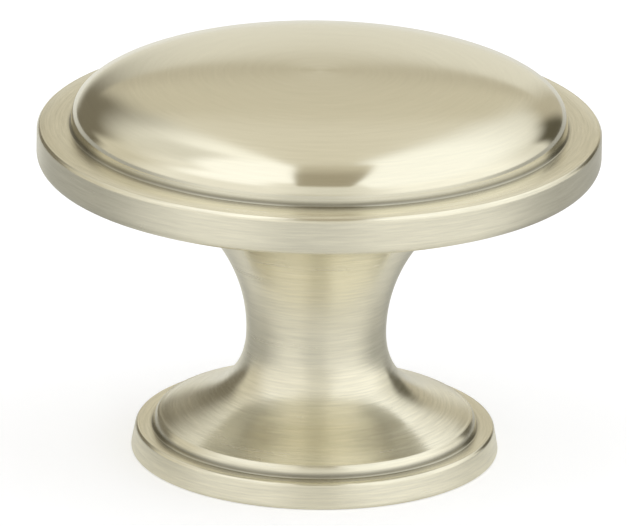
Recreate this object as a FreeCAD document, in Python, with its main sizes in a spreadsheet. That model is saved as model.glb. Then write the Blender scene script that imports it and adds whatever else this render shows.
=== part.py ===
import FreeCAD, Part
import math
import os
import Sketcher

# Cabinet knob, cast in one piece
# The knob is a solid of revolution about Z: a round base with a low rim, a foot that
# sweeps in to a waist, a flare that opens under the head, and a broad head whose rim
# carries a shallow dome behind a small step. Its back is flat and seats on the door,
# and a blind hole in the middle of the back takes the mounting screw.
# Millimetres, +Z up, origin at the centre of the back.

NODE = "knob_body"

# Driving dimensions: name, value in millimetres or degrees, meaning
SIZES = [
    ("base_diameter", 22.83, "outside of the base"),
    ("base_side_height", 1.54, "height of the side of the base, up to its shoulder"),
    ("base_side_lean", 0.28, "lean of the base's side towards the axis"),
    ("base_crown_run", 0.22, "pull of the base rim inwards from its shoulder"),
    ("base_crown_rise", 0.12, "rise of the base rim over that pull"),
    ("base_rim_width", 1.06, "base rim from its shoulder to the foot's step"),
    ("base_rim_rise", 0.02, "base rim at the foot's step above the shoulder"),
    ("base_rim_run", 0.4, "level stretch of the base rim before the step"),
    ("foot_step_rise", 0.6, "height of the foot's step"),
    ("foot_step_lean", 0.05, "lean of the foot's step towards the axis"),
    ("foot_run", 4.87, "pull of the foot's sweep inwards from its edge"),
    ("foot_rise", 1.77, "rise of the foot's sweep over that pull"),
    ("waist_height", 7.75, "height of the narrowest section"),
    ("waist_diameter", 8.68, "diameter of the narrowest section"),
    ("waist_pull_below", 2.28, "straightness of the neck below the waist"),
    ("waist_pull_above", 4.59, "straightness of the neck above the waist"),
    ("flare_diameter", 25.38, "mouth of the flare at the head's underside"),
    ("flare_run", 5.2, "pull of the flare outwards at its mouth"),
    ("flare_rise", 1.98, "rise of the flare over that pull"),
    ("underside_height", 18.52, "flat underside of the head above the back"),
    ("head_diameter", 34.925, "outside of the head"),
    ("head_side_height", 2.44, "height of the head's side, up to its shoulder"),
    ("head_crown_run", 0.4, "pull of the head rim inwards from its shoulder"),
    ("head_crown_rise", 0.21, "rise of the head rim over that pull"),
    ("head_rim_width", 2.07, "head rim from its shoulder to the dome's step"),
    ("head_rim_rise", 0.18, "head rim at the dome's step above the shoulder"),
    ("head_rim_run", 0.7, "level stretch of the head rim before the step"),
    ("dome_step_rise", 0.47, "height of the dome's step"),
    ("dome_step_lean", 0.05, "lean of the dome's step towards the axis"),
    ("dome_rise", 3.12, "crown of the dome above its edge"),
    ("dome_edge_pull", 2.37, "steepness of the dome above its edge"),
    ("dome_crown_pull", 9.08, "flatness of the dome around its crown"),
    ("base_edge_round", 0.15, "radius of the base's lower edge"),
    ("base_shoulder_round", 0.3, "radius of the base's shoulder"),
    ("foot_seat_cove", 0.1, "inside radius at the foot of the base step"),
    ("foot_edge_round", 0.6, "radius of the foot's upper edge"),
    ("flare_blend", 1.0, "inside radius where the flare meets the underside"),
    ("head_edge_round", 0.88, "radius of the head's lower edge"),
    ("head_shoulder_round", 0.35, "radius of the head's shoulder"),
    ("dome_seat_cove", 0.12, "inside radius at the foot of the dome step"),
    ("screw_hole_diameter", 3.45, "tapping size of the screw hole"),
    ("screw_hole_depth", 12.7, "full depth of the screw hole above the back"),
    ("screw_mouth_diameter", 4.6, "countersunk mouth of the screw hole"),
    ("screw_mouth_angle", 90.0, "included angle of the countersink"),
    ("screw_tip_angle", 118.0, "included angle of the hole's blind end"),
]


class Length:
    """A length known both as a number and as an expression over the size sheet."""

    def __init__(self, number, expression):
        self.number = number
        self.expression = expression

    def __add__(self, other):
        return Length(self.number + other.number, f"({self.expression} + {other.expression})")

    def __sub__(self, other):
        return Length(self.number - other.number, f"({self.expression} - {other.expression})")


ZERO = Length(0.0, "0")


def make_size_sheet(document):
    """Write the driving dimensions into a sheet, one named cell each."""
    sheet = document.addObject("Spreadsheet::Sheet", "sizes")
    for row, (name, value, meaning) in enumerate(SIZES, start=1):
        sheet.set(f"A{row}", meaning)
        sheet.set(f"B{row}", str(value))
        sheet.setAlias(f"B{row}", name)
    document.recompute()
    return sheet


def size(sheet, name):
    """A driving dimension as a length."""
    return Length(float(sheet.get(name)), f"{sheet.Name}.{name}")


def half(sheet, name):
    """Half of a driving dimension: the radius of a diameter."""
    return Length(float(sheet.get(name)) / 2, f"{sheet.Name}.{name} / 2")


def origin_plane(body, role):
    """One of the body's own origin planes."""
    return next(item for item in body.Origin.OriginFeatures if item.Role == role)


def new_sketch(body, name, role):
    """An empty sketch on one of the body's origin planes."""
    sketch = body.newObject("Sketcher::SketchObject", name)
    sketch.AttachmentSupport = [(origin_plane(body, role), "")]
    sketch.MapMode = "FlatFace"
    return sketch


def pin_point(sketch, geometry, point, across, up):
    """Hold a sketch point at two lengths from the sketch's origin."""
    for kind, length in (("DistanceX", across), ("DistanceY", up)):
        index = sketch.addConstraint(
            Sketcher.Constraint(kind, -1, 1, geometry, point, length.number)
        )
        sketch.setExpression(f"Constraints[{index}]", length.expression)


def as_vector(place):
    """A sketch point from a pair of lengths."""
    return FreeCAD.Vector(place[0].number, place[1].number, 0)


def add_line(sketch, start, end):
    """A straight stretch of the outline with both of its ends held."""
    line = sketch.addGeometry(Part.LineSegment(as_vector(start), as_vector(end)), False)
    pin_point(sketch, line, 1, *start)
    pin_point(sketch, line, 2, *end)


def add_curve(sketch, poles):
    """A smooth stretch of the outline, led by two pulls between its ends."""
    spline = Part.BSplineCurve()
    ends = [len(poles), len(poles)]
    spline.buildFromPolesMultsKnots(
        [as_vector(pole) for pole in poles], ends, [0, 1], False, len(poles) - 1
    )
    curve = sketch.addGeometry(spline, False)
    sketch.exposeInternalGeometry(curve)
    for number, pole in enumerate(poles, start=1):
        pin_point(sketch, curve + number, 3, *pole)


def draw_half_section(body, sheet):
    """Half of the knob's section, from the axis at the back to the crown of the dome."""
    sketch = new_sketch(body, "half_section", "XZ_Plane")

    # Base
    back_centre = (ZERO, ZERO)
    back_edge = (half(sheet, "base_diameter"), ZERO)
    base_shoulder = (
        back_edge[0] - size(sheet, "base_side_lean"),
        size(sheet, "base_side_height"),
    )
    base_crown = (
        base_shoulder[0] - size(sheet, "base_crown_run"),
        base_shoulder[1] + size(sheet, "base_crown_rise"),
    )
    foot_seat = (
        base_shoulder[0] - size(sheet, "base_rim_width"),
        base_shoulder[1] + size(sheet, "base_rim_rise"),
    )
    base_level = (foot_seat[0] + size(sheet, "base_rim_run"), foot_seat[1])
    add_line(sketch, back_centre, back_edge)
    add_line(sketch, back_edge, base_shoulder)
    add_curve(sketch, [base_shoulder, base_crown, base_level, foot_seat])

    # Foot, waist and flare
    foot_edge = (
        foot_seat[0] - size(sheet, "foot_step_lean"),
        foot_seat[1] + size(sheet, "foot_step_rise"),
    )
    foot_lead = (foot_edge[0] - size(sheet, "foot_run"), foot_edge[1] + size(sheet, "foot_rise"))
    waist = (half(sheet, "waist_diameter"), size(sheet, "waist_height"))
    waist_below = (waist[0], waist[1] - size(sheet, "waist_pull_below"))
    waist_above = (waist[0], waist[1] + size(sheet, "waist_pull_above"))
    flare_mouth = (half(sheet, "flare_diameter"), size(sheet, "underside_height"))
    flare_lead = (
        flare_mouth[0] - size(sheet, "flare_run"),
        flare_mouth[1] - size(sheet, "flare_rise"),
    )
    add_line(sketch, foot_seat, foot_edge)
    add_curve(sketch, [foot_edge, foot_lead, waist_below, waist])
    add_curve(sketch, [waist, waist_above, flare_lead, flare_mouth])

    # Head
    underside_edge = (half(sheet, "head_diameter"), flare_mouth[1])
    head_shoulder = (underside_edge[0], underside_edge[1] + size(sheet, "head_side_height"))
    head_crown = (
        head_shoulder[0] - size(sheet, "head_crown_run"),
        head_shoulder[1] + size(sheet, "head_crown_rise"),
    )
    dome_seat = (
        head_shoulder[0] - size(sheet, "head_rim_width"),
        head_shoulder[1] + size(sheet, "head_rim_rise"),
    )
    head_level = (dome_seat[0] + size(sheet, "head_rim_run"), dome_seat[1])
    add_line(sketch, flare_mouth, underside_edge)
    add_line(sketch, underside_edge, head_shoulder)
    add_curve(sketch, [head_shoulder, head_crown, head_level, dome_seat])

    # Dome
    dome_edge = (
        dome_seat[0] - size(sheet, "dome_step_lean"),
        dome_seat[1] + size(sheet, "dome_step_rise"),
    )
    dome_lead = (dome_edge[0], dome_edge[1] + size(sheet, "dome_edge_pull"))
    crown = (ZERO, dome_edge[1] + size(sheet, "dome_rise"))
    crown_lead = (size(sheet, "dome_crown_pull"), crown[1])
    add_line(sketch, dome_seat, dome_edge)
    add_curve(sketch, [dome_edge, dome_lead, crown_lead, crown])
    add_line(sketch, crown, back_centre)

    # Edges that are softened once the section has been turned
    soft_edges = {
        "base_edge_round": back_edge,
        "base_shoulder_round": base_shoulder,
        "foot_seat_cove": foot_seat,
        "foot_edge_round": foot_edge,
        "flare_blend": flare_mouth,
        "head_edge_round": underside_edge,
        "head_shoulder_round": head_shoulder,
        "dome_seat_cove": dome_seat,
    }
    return sketch, soft_edges


def turn_section(body, sketch):
    """Turn the half section about the knob's axis."""
    blank = body.newObject("PartDesign::Revolution", "turned_form")
    blank.Profile = sketch
    blank.ReferenceAxis = (sketch, ["V_Axis"])
    blank.Angle = 360
    sketch.Visibility = False
    return blank


def circle_names(shape, place):
    """Names of the circular edges that pass through a point of the half section."""
    tolerance = 1e-4
    names = []
    for number, edge in enumerate(shape.Edges, start=1):
        if edge.Degenerated or edge.Curve.TypeId != "Part::GeomCircle":
            continue
        level = abs(edge.Curve.Center.z - place[1].number) < tolerance
        if level and abs(edge.Curve.Radius - place[0].number) < tolerance:
            names.append(f"Edge{number}")
    if not names:
        raise RuntimeError(f"no edge at radius {place[0].number}, height {place[1].number}")
    return names


def soften_edge(document, body, sheet, base, name, place):
    """Round or cove one circular edge by the radius that the sheet gives."""
    fillet = body.newObject("PartDesign::Fillet", name)
    fillet.Base = (base, circle_names(base.Shape, place))
    fillet.setExpression("Radius", size(sheet, name).expression)
    document.recompute()
    return fillet


def sink_screw_hole(document, body, sheet):
    """Sink the blind hole for the mounting screw into the middle of the back."""
    centre = new_sketch(body, "screw_hole_centre", "XY_Plane")
    rim = centre.addGeometry(
        Part.Circle(
            FreeCAD.Vector(0, 0, 0),
            FreeCAD.Vector(0, 0, 1),
            half(sheet, "screw_hole_diameter").number,
        ),
        False,
    )
    centre.addConstraint(Sketcher.Constraint("Coincident", rim, 3, -1, 1))
    across = size(sheet, "screw_hole_diameter")
    index = centre.addConstraint(Sketcher.Constraint("Diameter", rim, across.number))
    centre.setExpression(f"Constraints[{index}]", across.expression)
    document.recompute()

    hole = body.newObject("PartDesign::Hole", "screw_hole")
    hole.Profile = centre
    document.recompute()
    hole.Threaded = False
    hole.DepthType = "Dimension"
    hole.DrillPoint = "Angled"
    hole.DrillForDepth = False
    hole.HoleCutType = "Countersink"
    hole.Reversed = True
    hole.setExpression("Diameter", across.expression)
    hole.setExpression("Depth", size(sheet, "screw_hole_depth").expression)
    hole.setExpression("DrillPointAngle", size(sheet, "screw_tip_angle").expression)
    hole.setExpression("HoleCutDiameter", size(sheet, "screw_mouth_diameter").expression)
    hole.setExpression("HoleCutCountersinkAngle", size(sheet, "screw_mouth_angle").expression)
    centre.Visibility = False
    document.recompute()
    return hole


def hole_volume(sheet):
    """Volume of the screw hole, worked out from its sizes."""
    radius = half(sheet, "screw_hole_diameter").number
    mouth = half(sheet, "screw_mouth_diameter").number
    depth = size(sheet, "screw_hole_depth").number
    mouth_depth = (mouth - radius) / math.tan(math.radians(size(sheet, "screw_mouth_angle").number / 2))
    tip_depth = radius / math.tan(math.radians(size(sheet, "screw_tip_angle").number / 2))
    shank = math.pi * radius**2 * (depth - mouth_depth)
    funnel = math.pi * mouth_depth * (mouth**2 + mouth * radius + radius**2) / 3
    tip = math.pi * radius**2 * tip_depth / 3
    return shank + funnel + tip


def build_knob(document, sheet):
    """The knob as one cast body."""
    body = document.addObject("PartDesign::Body", NODE)
    body.Label = NODE
    sketch, soft_edges = draw_half_section(body, sheet)
    feature = turn_section(body, sketch)
    document.recompute()
    for name, place in soft_edges.items():
        feature = soften_edge(document, body, sheet, feature, name, place)
    solid_volume = feature.Shape.Volume
    hole = sink_screw_hole(document, body, sheet)
    removed = solid_volume - hole.Shape.Volume
    expected = hole_volume(sheet)
    if abs(removed - expected) > 0.01 * expected:
        raise RuntimeError(f"the screw hole took away {removed:.2f}, not {expected:.2f} cubic mm")
    body.Tip = hole
    body.Placement = FreeCAD.Placement()
    return body


def check_document(document, bodies):
    """Stop if anything failed to build."""
    for item in document.Objects:
        if "Invalid" in item.State or "Error" in item.State:
            raise RuntimeError(f"{item.Label} failed to build: {item.State}")
    for body in bodies:
        if body.Shape.isNull() or not body.Shape.isValid() or len(body.Shape.Solids) != 1:
            raise RuntimeError(f"{body.Label} is not one valid solid")


def main():
    document = FreeCAD.newDocument("cabinet_knob")
    sheet = make_size_sheet(document)
    knob = build_knob(document, sheet)
    document.recompute()
    check_document(document, [knob])
    os.makedirs("parts", exist_ok=True)
    knob.Shape.exportStep(f"parts/{knob.Label}.step")
    box = knob.Shape.optimalBoundingBox(True, False)
    print(f"{knob.Label}: {box.XLength:.3f} x {box.YLength:.3f} x {box.ZLength:.3f} mm")
    print(f"volume {knob.Shape.Volume:.1f} cubic mm")


main()
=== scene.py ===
"""Looks of a one-piece cabinet knob in brushed nickel.

The knob's skin is turned about the Z axis from its half section, with the screw thread
cut into the hole in its back. It stands on a pale floor in a light tent, which is the
world's colour. The dataclasses hold millimetres and degrees, and the meshes are in metres.
"""

import logging
import math
from dataclasses import dataclass
from enum import Enum

import bpy
from mathutils import Matrix, Vector


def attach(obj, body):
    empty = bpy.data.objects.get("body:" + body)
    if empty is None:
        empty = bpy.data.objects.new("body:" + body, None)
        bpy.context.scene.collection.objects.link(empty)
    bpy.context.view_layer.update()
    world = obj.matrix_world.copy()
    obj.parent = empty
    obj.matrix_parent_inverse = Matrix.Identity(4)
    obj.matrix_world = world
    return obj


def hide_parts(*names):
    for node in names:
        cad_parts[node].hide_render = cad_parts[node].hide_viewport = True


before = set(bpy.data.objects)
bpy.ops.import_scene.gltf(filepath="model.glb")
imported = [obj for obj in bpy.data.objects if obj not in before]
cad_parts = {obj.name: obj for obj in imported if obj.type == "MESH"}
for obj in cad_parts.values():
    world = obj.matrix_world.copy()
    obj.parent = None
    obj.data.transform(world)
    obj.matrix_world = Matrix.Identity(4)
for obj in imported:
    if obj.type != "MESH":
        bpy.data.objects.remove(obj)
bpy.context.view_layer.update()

log = logging.getLogger("knob")

MM = 0.001
HALF_TURN = 180.0
DEGREES_A_RADIAN = HALF_TURN / math.pi
WHITE = (1.0, 1.0, 1.0, 1.0)
BLACK = (0.0, 0.0, 0.0, 1.0)
NODE = "knob_body"
BODY = "root"
SLOT = "brushed_nickel"
SLIVER_SHARE = 0.05

Point = tuple[float, float]
Outline = list[Point]
Colour = tuple[float, float, float]


class Spacing(Enum):
    """How the points of a stretch are spread along it."""

    EVEN = "even"
    DENSE_ENDS = "dense_ends"


def shares(count: int, spacing: Spacing) -> list[float]:
    """Positions along a stretch, from 0 to 1.

    Args:
        count: number of gaps between the points.
        spacing: even gaps, or gaps that narrow towards both ends.

    Returns:
        One more position than there are gaps.
    """
    even = [step / count for step in range(count + 1)]
    if spacing is Spacing.EVEN:
        return even
    return [(1 - math.cos(math.pi * share)) / 2 for share in even]


def straight(start: Point, end: Point, count: int, spacing: Spacing = Spacing.DENSE_ENDS) -> Outline:
    """Points on a straight stretch.

    Args:
        start: first end.
        end: last end.
        count: number of gaps.
        spacing: how the points are spread.

    Returns:
        The points, both ends among them.
    """
    return [
        (start[0] + (end[0] - start[0]) * t, start[1] + (end[1] - start[1]) * t)
        for t in shares(count, spacing)
    ]


def sweep(poles: list[Point], count: int, spacing: Spacing = Spacing.EVEN) -> Outline:
    """Points on a cubic curve that is led by two pulls between its ends.

    Args:
        poles: start, first pull, second pull and end.
        count: number of gaps.
        spacing: how the points are spread.

    Returns:
        The points, both ends among them.
    """
    points = []
    for t in shares(count, spacing):
        weights = ((1 - t) ** 3, 3 * (1 - t) ** 2 * t, 3 * (1 - t) * t**2, t**3)
        radius = sum(weight * pole[0] for weight, pole in zip(weights, poles))
        height = sum(weight * pole[1] for weight, pole in zip(weights, poles))
        points.append((radius, height))
    return points


def distance(first: Point, last: Point) -> float:
    """Distance between two points of the half section."""
    return math.hypot(last[0] - first[0], last[1] - first[1])


def unit(start: Point, end: Point) -> Point:
    """Unit step from one point towards another."""
    length = distance(start, end)
    return ((end[0] - start[0]) / length, (end[1] - start[1]) / length)


def join_rounded(before: Outline, after: Outline, radius: float, steps: int) -> Outline:
    """Join two stretches that meet at a corner, with an arc in place of the corner.

    Points of either stretch that lie just beyond an end of the arc are left out too, so that
    no sliver of a face stands beside it.

    Args:
        before: points that end at the corner.
        after: points that start at the corner.
        radius: radius of the arc.
        steps: number of gaps on the arc.

    Returns:
        The points of both stretches and of the arc between them.
    """
    corner = before[-1]
    back = unit(corner, before[-2])
    ahead = unit(corner, after[1])
    opening = math.acos(max(-1.0, min(1.0, back[0] * ahead[0] + back[1] * ahead[1])))
    setback = radius / math.tan(opening / 2)
    reach = radius / math.sin(opening / 2)
    middle = (back[0] + ahead[0], back[1] + ahead[1])
    scale = reach / math.hypot(*middle)
    centre = (corner[0] + middle[0] * scale, corner[1] + middle[1] * scale)
    touch = (corner[0] + back[0] * setback, corner[1] + back[1] * setback)
    leave = (corner[0] + ahead[0] * setback, corner[1] + ahead[1] * setback)
    first = math.atan2(touch[1] - centre[1], touch[0] - centre[0])
    last = math.atan2(leave[1] - centre[1], leave[0] - centre[0])
    turn = (last - first + math.pi) % (2 * math.pi) - math.pi
    arc = [
        (
            centre[0] + radius * math.cos(first + turn * step / steps),
            centre[1] + radius * math.sin(first + turn * step / steps),
        )
        for step in range(steps + 1)
    ]
    cleared = setback * (1 + SLIVER_SHARE)
    kept_before = [point for point in before if distance(point, corner) > cleared]
    kept_after = [point for point in after if distance(point, corner) > cleared]
    return kept_before + arc + kept_after


@dataclass(frozen=True)
class KnobSizes:
    """Sizes of the knob's half section, in millimetres and degrees.

    They are those of the solid, but for the foot: its lip is rounder here, and the foot's
    sweep is led fuller to suit, both within a tenth of a millimetre of the solid.
    """

    base_radius: float = 11.415
    base_side_height: float = 1.54
    base_side_lean: float = 0.28
    base_crown_run: float = 0.22
    base_crown_rise: float = 0.12
    base_rim_width: float = 1.06
    base_rim_rise: float = 0.02
    base_rim_run: float = 0.4
    foot_step_rise: float = 0.5
    foot_step_lean: float = 0.05
    foot_run: float = 1.11
    foot_rise: float = 1.15
    waist_height: float = 7.75
    waist_radius: float = 4.34
    waist_pull_below: float = 4.62
    waist_pull_above: float = 4.59
    flare_radius: float = 12.69
    flare_run: float = 5.2
    flare_rise: float = 1.98
    underside_height: float = 18.52
    head_radius: float = 17.4625
    head_side_height: float = 2.44
    head_crown_run: float = 0.4
    head_crown_rise: float = 0.21
    head_rim_width: float = 2.07
    head_rim_rise: float = 0.18
    head_rim_run: float = 0.7
    dome_step_rise: float = 0.47
    dome_step_lean: float = 0.05
    dome_rise: float = 3.12
    dome_edge_pull: float = 2.37
    dome_crown_pull: float = 9.08
    base_edge_round: float = 0.15
    base_shoulder_round: float = 0.3
    foot_seat_cove: float = 0.1
    foot_edge_round: float = 1.15
    flare_blend: float = 1.0
    head_edge_round: float = 0.88
    head_shoulder_round: float = 0.35
    dome_seat_cove: float = 0.12
    dome_edge_round: float = 0.05
    screw_hole_radius: float = 1.725
    screw_hole_depth: float = 12.7
    screw_mouth_radius: float = 2.3
    screw_mouth_angle: float = 90.0
    screw_tip_angle: float = 118.0


@dataclass(frozen=True)
class ScrewThread:
    """The thread in the hole, in millimetres: pitch, depth and how it fades at its ends."""

    pitch: float = 0.794
    depth: float = 0.358
    rows_a_turn: int = 9
    fade: float = 0.8


@dataclass(frozen=True)
class Fineness:
    """Number of gaps between the points on each stretch and each round of the half section."""

    hole_tip: int = 4
    hole_mouth: int = 6
    back: int = 26
    base_side: int = 16
    base_rim: int = 24
    foot_step: int = 8
    foot: int = 44
    flare: int = 56
    underside: int = 20
    head_side: int = 24
    head_rim: int = 30
    dome_step: int = 8
    dome: int = 84
    base_edge_round: int = 5
    base_shoulder_round: int = 10
    foot_seat_cove: int = 4
    foot_edge_round: int = 10
    flare_blend: int = 5
    head_edge_round: int = 10
    head_shoulder_round: int = 12
    dome_seat_cove: int = 4
    dome_edge_round: int = 3


class HalfSection:
    """The knob's half section, from the blind end of the hole round to the crown."""

    def __init__(self, sizes: KnobSizes, thread: ScrewThread, gaps: Fineness) -> None:
        """Keep the sizes that the section is drawn from.

        Args:
            sizes: the knob's sizes.
            thread: the thread's sizes.
            gaps: how finely each stretch is drawn.
        """
        self.sizes = sizes
        self.thread = thread
        self.gaps = gaps

    def hole(self) -> tuple[Outline, list[float]]:
        """The screw hole, from its blind end down to its mouth.

        Returns:
            The points, and for each the share of the thread's depth that is cut there.
        """
        s = self.sizes
        tip_rise = s.screw_hole_radius / math.tan(math.radians(s.screw_tip_angle / 2))
        mouth_rise = (s.screw_mouth_radius - s.screw_hole_radius) / math.tan(
            math.radians(s.screw_mouth_angle / 2)
        )
        wall_top = (s.screw_hole_radius, s.screw_hole_depth)
        wall_end = (s.screw_hole_radius, mouth_rise)
        rows = round((s.screw_hole_depth - mouth_rise) / self.thread.pitch * self.thread.rows_a_turn)
        tip = straight((0.0, s.screw_hole_depth + tip_rise), wall_top, self.gaps.hole_tip)
        wall = straight(wall_top, wall_end, rows, Spacing.EVEN)
        mouth = straight(wall_end, (s.screw_mouth_radius, 0.0), self.gaps.hole_mouth)
        cut = []
        for _, height in wall:
            near_end = min(s.screw_hole_depth - height, height - mouth_rise)
            cut.append(min(1.0, near_end / self.thread.fade))
        points = tip[:-1] + wall + mouth[1:]
        depths = [0.0] * (len(tip) - 1) + cut + [0.0] * (len(mouth) - 1)
        return points, depths

    def base(self) -> tuple[Outline, Point]:
        """The back, the side and the rim of the base.

        Returns:
            The points, and the place where the foot's step starts.
        """
        s, gaps = self.sizes, self.gaps
        shoulder = (s.base_radius - s.base_side_lean, s.base_side_height)
        seat = (shoulder[0] - s.base_rim_width, shoulder[1] + s.base_rim_rise)
        back = straight((s.screw_mouth_radius, 0.0), (s.base_radius, 0.0), gaps.back)
        side = straight((s.base_radius, 0.0), shoulder, gaps.base_side)
        rim = sweep(
            [
                shoulder,
                (shoulder[0] - s.base_crown_run, shoulder[1] + s.base_crown_rise),
                (seat[0] + s.base_rim_run, seat[1]),
                seat,
            ],
            gaps.base_rim,
        )
        lower = join_rounded(back, side, s.base_edge_round, gaps.base_edge_round)
        return join_rounded(lower, rim, s.base_shoulder_round, gaps.base_shoulder_round), seat

    def neck(self, seat: Point) -> Outline:
        """The foot's step, its sweep to the waist and the flare up to the head.

        Args:
            seat: place where the foot's step starts.

        Returns:
            The points, from the seat to the flare's mouth.
        """
        s, gaps = self.sizes, self.gaps
        edge = (seat[0] - s.foot_step_lean, seat[1] + s.foot_step_rise)
        waist = (s.waist_radius, s.waist_height)
        mouth = (s.flare_radius, s.underside_height)
        step = straight(seat, edge, gaps.foot_step)
        foot = sweep(
            [
                edge,
                (edge[0] - s.foot_run, edge[1] + s.foot_rise),
                (waist[0], waist[1] - s.waist_pull_below),
                waist,
            ],
            gaps.foot,
            Spacing.DENSE_ENDS,
        )
        flare = sweep(
            [
                waist,
                (waist[0], waist[1] + s.waist_pull_above),
                (mouth[0] - s.flare_run, mouth[1] - s.flare_rise),
                mouth,
            ],
            gaps.flare,
            Spacing.DENSE_ENDS,
        )
        lower = join_rounded(step, foot, s.foot_edge_round, gaps.foot_edge_round)
        return lower + flare[1:]

    def head(self) -> tuple[Outline, Point]:
        """The underside, the side and the rim of the head.

        Returns:
            The points, and the place where the dome's step starts.
        """
        s, gaps = self.sizes, self.gaps
        edge = (s.head_radius, s.underside_height)
        shoulder = (s.head_radius, s.underside_height + s.head_side_height)
        seat = (s.head_radius - s.head_rim_width, shoulder[1] + s.head_rim_rise)
        underside = straight((s.flare_radius, s.underside_height), edge, gaps.underside)
        side = straight(edge, shoulder, gaps.head_side)
        rim = sweep(
            [
                shoulder,
                (shoulder[0] - s.head_crown_run, shoulder[1] + s.head_crown_rise),
                (seat[0] + s.head_rim_run, seat[1]),
                seat,
            ],
            gaps.head_rim,
        )
        lower = join_rounded(underside, side, s.head_edge_round, gaps.head_edge_round)
        return join_rounded(lower, rim, s.head_shoulder_round, gaps.head_shoulder_round), seat

    def dome(self, seat: Point) -> Outline:
        """The dome's step and the dome.

        Args:
            seat: place where the dome's step starts.

        Returns:
            The points, from the seat to the crown.
        """
        s, gaps = self.sizes, self.gaps
        edge = (seat[0] - s.dome_step_lean, seat[1] + s.dome_step_rise)
        crown = (0.0, edge[1] + s.dome_rise)
        step = straight(seat, edge, gaps.dome_step)
        cap = sweep(
            [edge, (edge[0], edge[1] + s.dome_edge_pull), (s.dome_crown_pull, crown[1]), crown],
            gaps.dome,
        )
        return join_rounded(step, cap, s.dome_edge_round, gaps.dome_edge_round)

    def seats(self) -> Outline:
        """The places where the foot's step and the dome's step start."""
        return [self.base()[1], self.head()[1]]

    def outline(self) -> tuple[Outline, list[float]]:
        """The whole half section.

        Returns:
            The points in order, and for each the share of the thread that is cut there.
        """
        s, gaps = self.sizes, self.gaps
        hole, depths = self.hole()
        base, foot_seat = self.base()
        neck = self.neck(foot_seat)
        head, dome_seat = self.head()
        dome = self.dome(dome_seat)
        body = join_rounded(base, neck, s.foot_seat_cove, gaps.foot_seat_cove)
        body = join_rounded(body, head, s.flare_blend, gaps.flare_blend)
        body = join_rounded(body, dome, s.dome_seat_cove, gaps.dome_seat_cove)
        return hole + body[1:], depths + [0.0] * (len(body) - 1)


class NodeBench:
    """A node tree under construction."""

    def __init__(self, tree: bpy.types.NodeTree) -> None:
        """Keep the tree."""
        self.tree = tree

    def add(self, kind: str, **settings: object) -> bpy.types.Node:
        """Add a node and set its properties.

        Args:
            kind: name of the node's type.
            settings: the node's properties and their values.

        Returns:
            The new node.
        """
        node = self.tree.nodes.new(kind)
        for name, value in settings.items():
            setattr(node, name, value)
        return node

    def feed(self, socket: bpy.types.NodeSocket, source: object) -> None:
        """Link a socket to another socket, or give it a plain value.

        Args:
            socket: the input to feed.
            source: a socket to link from, or a plain value.
        """
        if isinstance(source, bpy.types.NodeSocket):
            self.tree.links.new(source, socket)
        else:
            socket.default_value = source

    def math(self, operation: str, *sources: object) -> bpy.types.NodeSocket:
        """A Math node on up to three sources.

        Args:
            operation: name of the operation.
            sources: sockets or plain values.

        Returns:
            The result's socket.
        """
        node = self.add("ShaderNodeMath", operation=operation)
        for socket, source in zip(node.inputs, sources):
            self.feed(socket, source)
        return node.outputs[0]

    def mix(self, share: object, first: object, last: object,
            blend: str = "MIX") -> bpy.types.NodeSocket:
        """A colour Mix node.

        Args:
            share: share of the last colour.
            first: socket or plain colour.
            last: socket or plain colour.
            blend: how the two are blended.

        Returns:
            The result's socket.
        """
        node = self.add("ShaderNodeMix", data_type="RGBA", blend_type=blend)
        for name, value in (("Factor", share), ("A", first), ("B", last)):
            self.feed(node.inputs[name], value)
        return node.outputs["Result"]

    def place(self, coordinate: str) -> list[bpy.types.NodeSocket]:
        """Parts of a texture coordinate.

        Args:
            coordinate: name of the coordinate.

        Returns:
            Sockets with its x, y and z.
        """
        split = self.add("ShaderNodeSeparateXYZ")
        self.feed(split.inputs[0], self.add("ShaderNodeTexCoord").outputs[coordinate])
        return list(split.outputs)

    def mirrored(self) -> bpy.types.NodeSocket:
        """Socket that is 1 for what metal or glass shows, and 0 otherwise."""
        rays = self.add("ShaderNodeLightPath").outputs
        return self.math("MAXIMUM", rays["Is Glossy Ray"], rays["Is Transmission Ray"])

    def remap(self, source: object, low: float, high: float, to_low: float, to_high: float,
              kind: str = "LINEAR") -> bpy.types.NodeSocket:
        """A Map Range node.

        Args:
            source: value to map.
            low: value that maps to to_low.
            high: value that maps to to_high.
            to_low: result at low.
            to_high: result at high.
            kind: interpolation between the two.

        Returns:
            The result's socket.
        """
        node = self.add("ShaderNodeMapRange", interpolation_type=kind)
        for name, value in (
            ("Value", source), ("From Min", low), ("From Max", high),
            ("To Min", to_low), ("To Max", to_high),
        ):
            self.feed(node.inputs[name], value)
        return node.outputs["Result"]


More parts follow.
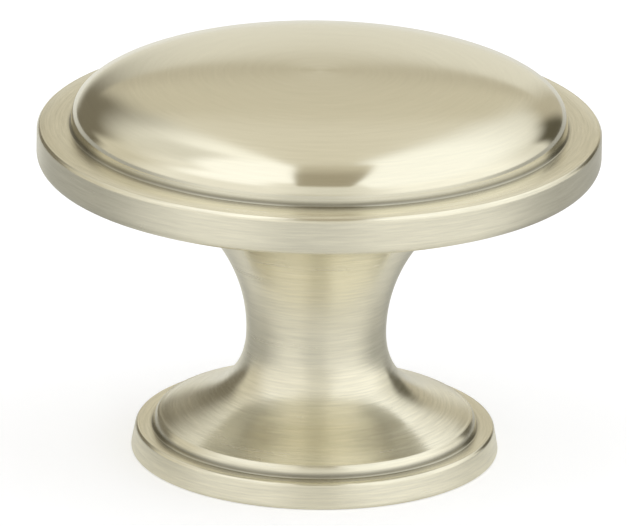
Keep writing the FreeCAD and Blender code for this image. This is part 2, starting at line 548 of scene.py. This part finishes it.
class Lathe:
    """Geometry Nodes that turn a line of points about the Z axis and cut a thread in it.

    CUT names the attribute with the share of the thread at each point. MERGE is the reach in
    metres within which points are joined. The thread's flank runs from CREST_FROM to ROOT_TO,
    as shares of half its pitch from the middle of its groove. HALF_STEP keeps the count of rows
    clear of rounding.
    """

    CUT = "thread_cut"
    MERGE = 1e-7
    CREST_FROM = 0.75
    ROOT_TO = 0.125
    HALF_STEP = 0.5

    def __init__(self, material: bpy.types.Material) -> None:
        """Build the tree.

        Args:
            material: finish of the turned skin.
        """
        self.tree = bpy.data.node_groups.new("turned_about_axis", "GeometryNodeTree")
        self.bench = NodeBench(self.tree)
        self.material = material
        self.sockets = {
            name: self.tree.interface.new_socket(name=name, in_out="INPUT", socket_type=kind)
            for name, kind in (
                ("Geometry", "NodeSocketGeometry"),
                ("Segments", "NodeSocketInt"),
                ("Thread Pitch", "NodeSocketFloat"),
                ("Thread Depth", "NodeSocketFloat"),
            )
        }
        self.tree.interface.new_socket(
            name="Geometry", in_out="OUTPUT", socket_type="NodeSocketGeometry"
        )
        self.build()

    def groove(self, inputs: bpy.types.Node, height: object, turn: object) -> bpy.types.NodeSocket:
        """Depth of the thread at a height and a share of the turn.

        Args:
            inputs: the tree's input node.
            height: height above the back.
            turn: share of a full turn.

        Returns:
            Socket that holds the depth, before the cut's fading.
        """
        b = self.bench
        turns = b.math("DIVIDE", height, inputs.outputs["Thread Pitch"])
        phase = b.math("FRACT", b.math("SUBTRACT", turns, turn))
        offset = b.math("ABSOLUTE", b.math("MULTIPLY_ADD", phase, 2.0, -1.0))
        profile = b.remap(offset, self.CREST_FROM, self.ROOT_TO, 0.0, 1.0)
        return b.math("MULTIPLY", profile, inputs.outputs["Thread Depth"])

    def build(self) -> None:
        """Lay out the nodes."""
        b = self.bench
        inputs = b.add("NodeGroupInput")
        line = inputs.outputs["Geometry"]
        count = b.add("GeometryNodeAttributeDomainSize", component="MESH")
        b.feed(count.inputs["Geometry"], line)
        columns = b.math("ADD", inputs.outputs["Segments"], 1.0)
        grid = b.add("GeometryNodeMeshGrid")
        b.feed(grid.inputs["Vertices X"], count.outputs["Point Count"])
        b.feed(grid.inputs["Vertices Y"], columns)

        index = b.add("GeometryNodeInputIndex").outputs[0]
        row = b.math("FLOOR", b.math("DIVIDE", b.math("ADD", index, self.HALF_STEP), columns))
        column = b.math("SUBTRACT", index, b.math("MULTIPLY", row, columns))
        turn = b.math("DIVIDE", column, inputs.outputs["Segments"])
        angle = b.math("MULTIPLY", turn, 2 * math.pi)

        place = self.sample(line, row, b.add("GeometryNodeInputPosition").outputs[0], "FLOAT_VECTOR")
        named = b.add("GeometryNodeInputNamedAttribute", data_type="FLOAT")
        b.feed(named.inputs["Name"], self.CUT)
        cut = self.sample(line, row, named.outputs["Attribute"], "FLOAT")
        split = b.add("ShaderNodeSeparateXYZ")
        b.feed(split.inputs[0], place)
        depth = b.math("MULTIPLY", self.groove(inputs, split.outputs["Z"], turn), cut)
        radius = b.math("ADD", split.outputs["X"], depth)
        join = b.add("ShaderNodeCombineXYZ")
        b.feed(join.inputs["X"], b.math("MULTIPLY", radius, b.math("COSINE", angle)))
        b.feed(join.inputs["Y"], b.math("MULTIPLY", radius, b.math("SINE", angle)))
        b.feed(join.inputs["Z"], split.outputs["Z"])

        moved = b.add("GeometryNodeSetPosition")
        b.feed(moved.inputs["Geometry"], grid.outputs["Mesh"])
        b.feed(moved.inputs["Position"], join.outputs[0])
        merged = b.add("GeometryNodeMergeByDistance")
        b.feed(merged.inputs["Geometry"], moved.outputs[0])
        b.feed(merged.inputs["Distance"], self.MERGE)
        smooth = b.add("GeometryNodeSetShadeSmooth")
        b.feed(smooth.inputs["Geometry"], merged.outputs[0])
        real = b.add("GeometryNodeRealizeInstances")
        b.feed(real.inputs[0], smooth.outputs[0])
        dressed = b.add("GeometryNodeSetMaterial")
        b.feed(dressed.inputs["Geometry"], real.outputs[0])
        dressed.inputs["Material"].default_value = self.material
        b.feed(b.add("NodeGroupOutput").inputs[0], dressed.outputs[0])

    def sample(self, line: object, row: object, value: object, kind: str) -> bpy.types.NodeSocket:
        """Value of the line's point that a row of the skin comes from.

        Args:
            line: socket with the line.
            row: socket with the row's number.
            value: socket with the value on the line.
            kind: the value's data type.

        Returns:
            Socket with the value.
        """
        node = self.bench.add("GeometryNodeSampleIndex", data_type=kind, domain="POINT")
        self.bench.feed(node.inputs["Geometry"], line)
        self.bench.feed(node.inputs["Value"], value)
        self.bench.feed(node.inputs["Index"], row)
        return node.outputs["Value"]

    def turn(self, name: str, outline: Outline, cut: list[float], thread: ScrewThread,
             segments: int) -> bpy.types.Object:
        """Turn an outline into a plain mesh object.

        Args:
            name: name of the object.
            outline: points in millimetres, radius and height.
            cut: share of the thread's depth at each point.
            thread: the thread's sizes.
            segments: number of gaps round the axis.

        Returns:
            The object, with its mesh made real and no modifier left.
        """
        line = bpy.data.meshes.new(f"{name}_line")
        line.from_pydata(
            [(radius * MM, 0.0, height * MM) for radius, height in outline],
            [(step, step + 1) for step in range(len(outline) - 1)],
            [],
        )
        line.attributes.new(self.CUT, "FLOAT", "POINT").data.foreach_set("value", cut)
        piece = bpy.data.objects.new(name, line)
        bpy.context.scene.collection.objects.link(piece)
        modifier = piece.modifiers.new("lathe", "NODES")
        modifier.node_group = self.tree
        modifier[self.sockets["Segments"].identifier] = segments
        modifier[self.sockets["Thread Pitch"].identifier] = thread.pitch * MM
        modifier[self.sockets["Thread Depth"].identifier] = thread.depth * MM
        bpy.context.view_layer.update()
        graph = bpy.context.evaluated_depsgraph_get()
        skin = bpy.data.meshes.new_from_object(piece.evaluated_get(graph))
        piece.modifiers.remove(modifier)
        piece.data = skin
        skin.name = name
        bpy.data.meshes.remove(line)
        return piece


def radius_of(bench: NodeBench, x: object, y: object) -> bpy.types.NodeSocket:
    """Distance of a place from the Z axis."""
    squares = bench.math("ADD", bench.math("POWER", x, 2.0), bench.math("POWER", y, 2.0))
    return bench.math("SQRT", squares)


def bearing(bench: NodeBench, x: object, y: object) -> bpy.types.NodeSocket:
    """Azimuth of a direction in degrees: 0 towards the camera, growing towards +X."""
    turn = bench.math("ARCTAN2", x, bench.math("MULTIPLY", y, -1.0))
    return bench.math("MULTIPLY", turn, DEGREES_A_RADIAN)


@dataclass(frozen=True)
class Edge:
    """A soft edge: where it lies, and the width over which it blends."""

    at: float
    fade: float

    def remap(self, bench: NodeBench, value: object, below: float, above: float) -> bpy.types.NodeSocket:
        """Blend from one level to another over the edge.

        Args:
            bench: nodes to add to.
            value: socket with the value that crosses the edge.
            below: level below the edge.
            above: level above the edge.

        Returns:
            Socket with the level.
        """
        reach = self.fade / 2
        return bench.remap(value, self.at - reach, self.at + reach, below, above, "SMOOTHSTEP")

    def rise(self, bench: NodeBench, value: object) -> bpy.types.NodeSocket:
        """Socket that holds 0 below the edge and 1 above it."""
        return self.remap(bench, value, 0.0, 1.0)

    def fall(self, bench: NodeBench, value: object) -> bpy.types.NodeSocket:
        """Socket that holds 1 below the edge and 0 above it."""
        return self.remap(bench, value, 1.0, 0.0)


@dataclass(frozen=True)
class Sector:
    """A range of azimuths in degrees: its middle, its reach to either side and the sides' fade.

    Azimuth 0 is towards the camera and grows towards +X.
    """

    middle: float
    half_width: float
    fade: float

    def cover(self, bench: NodeBench, azimuth: object) -> bpy.types.NodeSocket:
        """How much of the sector shows at an azimuth.

        Args:
            bench: nodes to add to.
            azimuth: socket with the azimuth.

        Returns:
            Socket that holds 1 inside the sector and 0 outside.
        """
        aside = bench.math("SUBTRACT", azimuth, self.middle)
        aside = bench.math("ABSOLUTE", bench.math("WRAP", aside, HALF_TURN, -HALF_TURN))
        return Edge(self.half_width, self.fade).fall(bench, aside)


@dataclass(frozen=True)
class RecessShade:
    """Painted shade in a ring beside the seat of a step: the colour is darkened round the recess.

    Its middle lies inwards of the seat and above it, in millimetres.
    """

    inwards: float
    above: float
    reach: float
    level: float

    def cover(self, bench: NodeBench, seat: Point, radius: object, height: object) -> bpy.types.NodeSocket:
        """Level that the painted shade leaves of the colour round the recess, 1 beyond its reach.

        Args:
            bench: the material's nodes.
            seat: radius and height of the place where the step starts.
            radius: socket with the distance from the axis.
            height: socket with the height above the back.

        Returns:
            Socket with the level.
        """
        aside = bench.math("SUBTRACT", radius, (seat[0] - self.inwards) * MM)
        above = bench.math("SUBTRACT", height, (seat[1] + self.above) * MM)
        away = radius_of(bench, aside, above)
        return bench.remap(away, 0.0, self.reach * MM, self.level, 1.0, "SMOOTHSTEP")


@dataclass(frozen=True)
class Streaks:
    """Brush marks, as noise that is drawn out into rings round the axis.

    The noise strays from its middle by about its swing.
    """

    a_mm: float
    length_mm: float
    detail: float = 3.0
    roughness: float = 0.6
    middle: float = 0.5
    swing: float = 0.2

    def lay(self, bench: NodeBench) -> bpy.types.NodeSocket:
        """Lay the noise out.

        Args:
            bench: the material's nodes.

        Returns:
            Socket with the noise, about 0 to 1.
        """
        x, y, z = bench.place("Object")
        across = self.a_mm / MM
        along = 1 / (self.length_mm * MM)
        join = bench.add("ShaderNodeCombineXYZ")
        bench.feed(join.inputs["X"], bench.math("MULTIPLY", x, along))
        bench.feed(join.inputs["Y"], bench.math("MULTIPLY", y, along))
        bench.feed(join.inputs["Z"], bench.math("MULTIPLY", radius_of(bench, x, y), across))
        noise = bench.add("ShaderNodeTexNoise", noise_dimensions="4D")
        bench.feed(noise.inputs["Vector"], join.outputs[0])
        bench.feed(noise.inputs["W"], bench.math("MULTIPLY", z, across))
        noise.inputs["Scale"].default_value = 1.0
        noise.inputs["Detail"].default_value = self.detail
        noise.inputs["Roughness"].default_value = self.roughness
        return noise.outputs["Fac"]


@dataclass(frozen=True)
class BrushedNickel:
    """Warm nickel plate with fine brushing that runs round the axis.

    Fine streaks tint and groove the plate, and coarse ones vary its roughness. Painted shade darkens
    the colour in the recesses beside the foot's and the dome's steps. The dome is brushed more
    finely than the rest: the change runs between two heights above its seat.
    """

    colour: Colour = (0.85, 0.815, 0.69)
    colour_swing: float = 0.08
    roughness: float = 0.24
    dome_roughness: float = 0.13
    roughness_swing: float = 0.04
    anisotropy: float = 0.8
    brush_turn: float = 0.25
    fine: Streaks = Streaks(8.0, 2.5)
    coarse: Streaks = Streaks(1.6, 7.5)
    groove_depth_mm: float = 0.002
    dome_share: float = 0.3
    dome_from_mm: float = 0.06
    dome_to_mm: float = 0.56
    # painted shade: the colour darkens in the recesses beside the foot's and the dome's steps
    foot_recess_shade: RecessShade = RecessShade(0.025, 0.16, 0.34, 0.4)
    dome_recess_shade: RecessShade = RecessShade(0.0525, 0.12, 0.34, 0.4)

    def tone(self, bench: NodeBench, grain: object, recess_shade_level: object) -> bpy.types.NodeSocket:
        """Colour of the plate, with painted shade in the recesses.

        Args:
            bench: the material's nodes.
            grain: socket with the brush marks, which swing about zero.
            recess_shade_level: socket with the level that the recesses leave of the colour.

        Returns:
            Socket with the colour.
        """
        dark = [channel * (1 - self.colour_swing) for channel in self.colour]
        light = [min(1.0, channel * (1 + self.colour_swing)) for channel in self.colour]
        share = bench.remap(grain, -self.fine.swing, self.fine.swing, 0.0, 1.0)
        return bench.mix(recess_shade_level, BLACK, bench.mix(share, (*dark, 1.0), (*light, 1.0)))

    def make(self, name: str, foot_seat: Point, dome_seat: Point) -> bpy.types.Material:
        """Build the material.

        Args:
            name: name of the material.
            foot_seat: radius and height of the place where the foot's step starts.
            dome_seat: radius and height of the place where the dome's step starts.

        Returns:
            The finished material.
        """
        material = bpy.data.materials.new(name)
        material.use_nodes = True
        bench = NodeBench(material.node_tree)
        shader = material.node_tree.nodes["Principled BSDF"]
        x, y, height = bench.place("Object")
        radius = radius_of(bench, x, y)
        dome_from = (dome_seat[1] + self.dome_from_mm) * MM
        dome_to = (dome_seat[1] + self.dome_to_mm) * MM
        strength = bench.remap(height, dome_from, dome_to, 1.0, self.dome_share)
        roughness = bench.remap(height, dome_from, dome_to, self.roughness, self.dome_roughness)

        grain = bench.math("SUBTRACT", self.fine.lay(bench), self.fine.middle)
        grain = bench.math("MULTIPLY", grain, strength)
        # painted shade in the recesses beside the foot's and the dome's steps
        foot = self.foot_recess_shade.cover(bench, foot_seat, radius, height)
        dome = self.dome_recess_shade.cover(bench, dome_seat, radius, height)
        recess_shade_level = bench.math("MULTIPLY", foot, dome)
        bench.feed(shader.inputs["Base Color"], self.tone(bench, grain, recess_shade_level))

        low, high = (self.coarse.middle + sign * self.coarse.swing for sign in (-1, 1))
        swing = bench.remap(self.coarse.lay(bench), low, high, -self.roughness_swing, self.roughness_swing)
        swing = bench.math("MULTIPLY", swing, strength)
        bench.feed(shader.inputs["Roughness"], bench.math("ADD", roughness, swing))
        bump = bench.add("ShaderNodeBump")
        bump.inputs["Strength"].default_value = 1.0
        bump.inputs["Distance"].default_value = self.groove_depth_mm * MM
        bench.feed(bump.inputs["Height"], grain)
        bench.feed(shader.inputs["Normal"], bump.outputs["Normal"])
        tangent = bench.add("ShaderNodeTangent", direction_type="RADIAL", axis="Z")
        bench.feed(shader.inputs["Tangent"], tangent.outputs["Tangent"])
        shader.inputs["Metallic"].default_value = 1.0
        shader.inputs["Anisotropic"].default_value = self.anisotropy
        shader.inputs["Anisotropic Rotation"].default_value = self.brush_turn
        return material


@dataclass(frozen=True)
class Knob:
    """The knob as one turned skin."""

    sizes: KnobSizes = KnobSizes()
    thread: ScrewThread = ScrewThread()
    gaps: Fineness = Fineness()
    finish: BrushedNickel = BrushedNickel()
    segments: int = 192

    def build(self) -> bpy.types.Object:
        """Turn and dress the knob, and set it in place of the solid that it shows.

        Returns:
            The knob's object.
        """
        section = HalfSection(self.sizes, self.thread, self.gaps)
        outline, cut = section.outline()
        foot_seat, dome_seat = section.seats()
        lathe = Lathe(self.finish.make(SLOT, foot_seat, dome_seat))
        skin = lathe.turn("knob_skin", outline, cut, self.thread, self.segments)
        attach(skin, BODY)
        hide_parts(NODE)
        return skin


@dataclass(frozen=True)
class FloorShade:
    """A side on which the floor looks darker in the metal, as a dark card beside the set makes it."""

    side: Sector
    level: float


@dataclass(frozen=True)
class Floor:
    """The pale floor that the knob stands on.

    Its shades come in between two distances from the axis, so the floor next to the knob stays light.
    """

    reach_m: float = 4.0
    colour: Colour = (0.86, 0.86, 0.86)
    in_metal: Colour = (0.70, 0.69, 0.61)
    roughness: float = 0.9
    glow: float = 0.36
    glow_in_metal: float = 0.22
    drop_mm: float = 0.01
    near_from_mm: float = 13.0
    near_to_mm: float = 24.0
    shades: tuple[FloorShade, ...] = (
        FloorShade(Sector(-106.0, 40.0, 50.0), 0.5),
        FloorShade(Sector(120.0, 40.0, 50.0), 0.5),
        FloorShade(Sector(-3.0, 17.0, 24.0), 0.82),
    )

    def build(self) -> bpy.types.Object:
        """Lay the floor.

        Returns:
            The floor's object.
        """
        mesh = bpy.data.meshes.new("floor")
        reach, level = self.reach_m, -self.drop_mm * MM
        corners = [(-reach, -reach, level), (reach, -reach, level),
                   (reach, reach, level), (-reach, reach, level)]
        mesh.from_pydata(corners, [], [(0, 1, 2, 3)])
        floor = bpy.data.objects.new("floor", mesh)
        bpy.context.scene.collection.objects.link(floor)
        mesh.materials.append(self.make_material())
        return floor

    def shading(self, bench: NodeBench, away: object, azimuth: object) -> bpy.types.NodeSocket:
        """Level of the floor round the knob, below 1 on a shaded side.

        Args:
            bench: the material's nodes.
            away: socket that is 1 away from the knob and 0 next to it.
            azimuth: socket with the azimuth of the place on the floor.

        Returns:
            Socket with the level.
        """
        level: object = 1.0
        for shade in self.shades:
            cover = bench.math("MULTIPLY", shade.side.cover(bench, azimuth), away)
            loss = bench.math("MULTIPLY", cover, 1.0 - shade.level)
            level = bench.math("MULTIPLY", level, bench.math("SUBTRACT", 1.0, loss))
        return level

    def make_material(self) -> bpy.types.Material:
        """Matt white, lifted a little where it is seen directly or in the metal.

        Returns:
            The floor's material.
        """
        material = bpy.data.materials.new("floor")
        material.use_nodes = True
        bench = NodeBench(material.node_tree)
        shader = material.node_tree.nodes["Principled BSDF"]
        shader.inputs["Roughness"].default_value = self.roughness
        shader.inputs["Specular IOR Level"].default_value = 0.0
        shader.inputs["Emission Color"].default_value = WHITE
        seen = bench.add("ShaderNodeLightPath").outputs["Is Camera Ray"]
        mirrored = bench.mirrored()
        x, y, _ = bench.place("Object")
        away = bench.remap(radius_of(bench, x, y), self.near_from_mm * MM, self.near_to_mm * MM,
                           0.0, 1.0, "SMOOTHSTEP")
        level = self.shading(bench, bench.math("MULTIPLY", away, mirrored), bearing(bench, x, y))
        tone = bench.mix(mirrored, (*self.colour, 1.0), (*self.in_metal, 1.0))
        bench.feed(shader.inputs["Base Color"], bench.mix(level, BLACK, tone))
        glow = bench.math("MULTIPLY", seen, self.glow)
        glow_in_metal = bench.math("MULTIPLY", bench.math("MULTIPLY", mirrored, self.glow_in_metal), level)
        bench.feed(shader.inputs["Emission Strength"], bench.math("ADD", glow, glow_in_metal))
        return material


@dataclass(frozen=True)
class Patch:
    """An area of the surround: its sides, its edges in elevation in degrees, and how bright it is."""

    name: str
    sides: Sector
    low: Edge
    high: Edge
    radiance: Colour

    def cover(self, bench: NodeBench, azimuth: object, elevation: object) -> bpy.types.NodeSocket:
        """How much of the patch shows in a direction.

        Args:
            bench: the surround's nodes.
            azimuth: socket with the direction's azimuth.
            elevation: socket with the direction's elevation.

        Returns:
            Socket that holds 1 inside the patch and 0 outside.
        """
        inside = bench.math("MULTIPLY", self.low.rise(bench, elevation), self.high.fall(bench, elevation))
        return bench.math("MULTIPLY", self.sides.cover(bench, azimuth), inside)


@dataclass(frozen=True)
class OverheadGap:
    """The gap between the two overhead soft boxes, on a ceiling one unit above the knob.

    It runs from over the camera to over the back, where it is pale, and it widens towards the
    camera. It ends above the lowest elevation, in degrees.
    """

    middle: float = 0.05
    half_width: float = 0.15
    taper: float = 0.1
    side_fade: float = 0.04
    front: Edge = Edge(0.86, 0.3)
    back: Edge = Edge(-0.445, 0.09)
    lowest: Edge = Edge(30.0, 4.0)
    dark_until: float = 0.0
    pale_from: float = -0.36
    dark: Colour = (0.52, 0.48, 0.40)
    pale: Colour = (0.80, 0.76, 0.68)

    def lay(self, bench: NodeBench, direction: list[object], elevation: object,
            colour: object) -> bpy.types.NodeSocket:
        """Lay the gap over the surround's colour.

        Args:
            bench: the surround's nodes.
            direction: sockets with the direction's x, y and z.
            elevation: socket with the direction's elevation.
            colour: socket with the colour so far.

        Returns:
            Socket with the colour that results.
        """
        x, y, z = direction
        aside = bench.math("DIVIDE", x, z)
        forward = bench.math("MULTIPLY", bench.math("DIVIDE", y, z), -1.0)
        half = bench.math("MULTIPLY_ADD", forward, self.taper, self.half_width)
        beyond = bench.math("ABSOLUTE", bench.math("SUBTRACT", aside, self.middle))
        beyond = bench.math("SUBTRACT", beyond, half)
        cover = Edge(0.0, self.side_fade).fall(bench, beyond)
        for part in (
            self.front.fall(bench, forward),
            self.back.rise(bench, forward),
            self.lowest.rise(bench, elevation),
        ):
            cover = bench.math("MULTIPLY", cover, part)
        depth = bench.remap(forward, self.pale_from, self.dark_until, 0.0, 1.0)
        tone = bench.mix(depth, (*self.pale, 1.0), (*self.dark, 1.0))
        return bench.mix(cover, colour, tone)


NADIR = Edge(-90.0, 1.0)
ZENITH = Edge(91.0, 1.0)


@dataclass(frozen=True)
class Surround:
    """The light tent round the knob, as the light that comes from each direction.

    Each patch is laid over those before it, and the overhead gap over them all. The metal
    sees the surround in a warmer tint, and the camera sees plain white.
    """

    gap: OverheadGap = OverheadGap()
    level: float = 0.785
    warmth_in_metal: Colour = (1.0, 0.982, 0.881)
    patches: tuple[Patch, ...] = (
        Patch("left_wall", Sector(-66.0, 54.0, 26.0), NADIR, ZENITH, (1.20, 1.20, 1.22)),
        Patch("left_wall_far", Sector(-114.0, 26.0, 34.0), NADIR, Edge(42.0, 36.0), (0.86, 0.83, 0.76)),
        Patch("right_wall", Sector(68.0, 40.0, 40.0), NADIR, ZENITH, (1.42, 1.44, 1.50)),
        Patch("front_low", Sector(0.0, 14.0, 18.0), NADIR, Edge(7.0, 12.0), (0.84, 0.83, 0.80)),
        Patch("back_wall", Sector(180.0, 13.0, 10.0), NADIR, Edge(17.0, 4.0), (1.02, 1.01, 0.98)),
        Patch("dark_left_low", Sector(-138.0, 18.0, 14.0), NADIR, Edge(14.0, 10.0), (0.22, 0.20, 0.16)),
        Patch("dark_left", Sector(-150.0, 21.0, 16.0), Edge(4.0, 12.0), Edge(32.0, 20.0),
              (0.25, 0.23, 0.19)),
        Patch("grey_right", Sector(158.0, 9.0, 8.0), NADIR, Edge(24.0, 10.0), (0.66, 0.62, 0.54)),
        Patch("dark_right", Sector(142.0, 12.0, 10.0), NADIR, Edge(25.0, 14.0), (0.14, 0.13, 0.10)),
        Patch("left_box", Sector(-92.0, 76.0, 10.0), Edge(60.0, 8.0), ZENITH, (1.52, 1.55, 1.66)),
        Patch("left_box_low", Sector(-56.0, 27.0, 20.0), Edge(37.0, 18.0), Edge(62.0, 8.0),
              (1.52, 1.55, 1.66)),
        Patch("left_box_edge", Sector(-165.0, 7.0, 8.0), Edge(42.0, 14.0), Edge(62.0, 8.0),
              (1.42, 1.44, 1.50)),
        Patch("right_box", Sector(97.0, 70.0, 8.0), Edge(36.0, 30.0), ZENITH, (1.46, 1.50, 1.60)),
        Patch("back_slot", Sector(180.0, 11.0, 4.0), Edge(29.0, 4.0), Edge(66.0, 6.0), (0.95, 0.92, 0.86)),
        Patch("back_low", Sector(180.0, 13.0, 8.0), Edge(16.5, 1.0), Edge(31.0, 6.0), (0.82, 0.78, 0.69)),
        Patch("back_line", Sector(180.0, 13.0, 8.0), Edge(16.5, 1.0), Edge(20.0, 5.0), (0.68, 0.64, 0.56)),
    )

    def build(self) -> None:
        """Lay the surround out as the world's colour."""
        world = bpy.data.worlds.new("surround")
        world.use_nodes = True
        bench = NodeBench(world.node_tree)
        x, y, z = bench.place("Generated")
        azimuth = bearing(bench, x, y)
        elevation = bench.math("MULTIPLY", bench.math("ARCSINE", z), DEGREES_A_RADIAN)
        colour: object = WHITE
        for patch in self.patches:
            cover = patch.cover(bench, azimuth, elevation)
            colour = bench.mix(cover, colour, (*patch.radiance, 1.0))
            log.info("surround: %s", patch.name)
        colour = self.gap.lay(bench, [x, y, z], elevation, colour)
        colour = bench.mix(bench.mirrored(), colour, (*self.warmth_in_metal, 1.0), "MULTIPLY")
        seen = bench.add("ShaderNodeLightPath").outputs["Is Camera Ray"]
        background = world.node_tree.nodes["Background"]
        bench.feed(background.inputs["Color"], bench.mix(seen, colour, WHITE))
        strength = bench.remap(seen, 0.0, 1.0, self.level, 1.0)
        bench.feed(background.inputs["Strength"], strength)
        bpy.context.scene.world = world


@dataclass(frozen=True)
class Studio:
    """Floor and surround."""

    floor: Floor = Floor()
    surround: Surround = Surround()

    def build(self) -> None:
        """Set the studio up."""
        self.floor.build()
        self.surround.build()
        bpy.context.scene.view_settings.view_transform = "Standard"


@dataclass(frozen=True)
class ProductCamera:
    """The long lens that the knob is seen through."""

    lens_mm: float = 981.6
    sensor_mm: float = 36.0
    clip_end_m: float = 100.0
    distance_m: float = 1.0617
    elevation: float = 19.4
    roll: float = 0.914
    target_mm: tuple[float, float, float] = (-0.172, 0.0, 12.119)

    def build(self) -> bpy.types.Object:
        """Set the camera up and make it the scene's own.

        Returns:
            The camera's object.
        """
        camera = bpy.data.cameras.new("camera")
        camera.lens = self.lens_mm
        camera.sensor_width = self.sensor_mm
        camera.clip_end = self.clip_end_m
        holder = bpy.data.objects.new("camera", camera)
        target = Vector(self.target_mm) * MM
        angle = math.radians(self.elevation)
        holder.location = target + self.distance_m * Vector((0.0, -math.cos(angle), math.sin(angle)))
        look = (target - holder.location).to_track_quat("-Z", "Y").to_matrix().to_4x4()
        turn = Matrix.Rotation(math.radians(self.roll), 4, "Z")
        holder.matrix_world = Matrix.Translation(holder.location) @ look @ turn
        bpy.context.scene.collection.objects.link(holder)
        bpy.context.scene.camera = holder
        return holder


def main() -> None:
    """Build the camera, the knob and the studio in order."""
    logging.basicConfig(level=logging.INFO, format="%(name)s: %(message)s")
    ProductCamera().build()
    skin = Knob().build()
    log.info("%s: %d vertices, %d faces", skin.name, len(skin.data.vertices), len(skin.data.polygons))
    Studio().build()


if __name__ == "__main__":
    main()
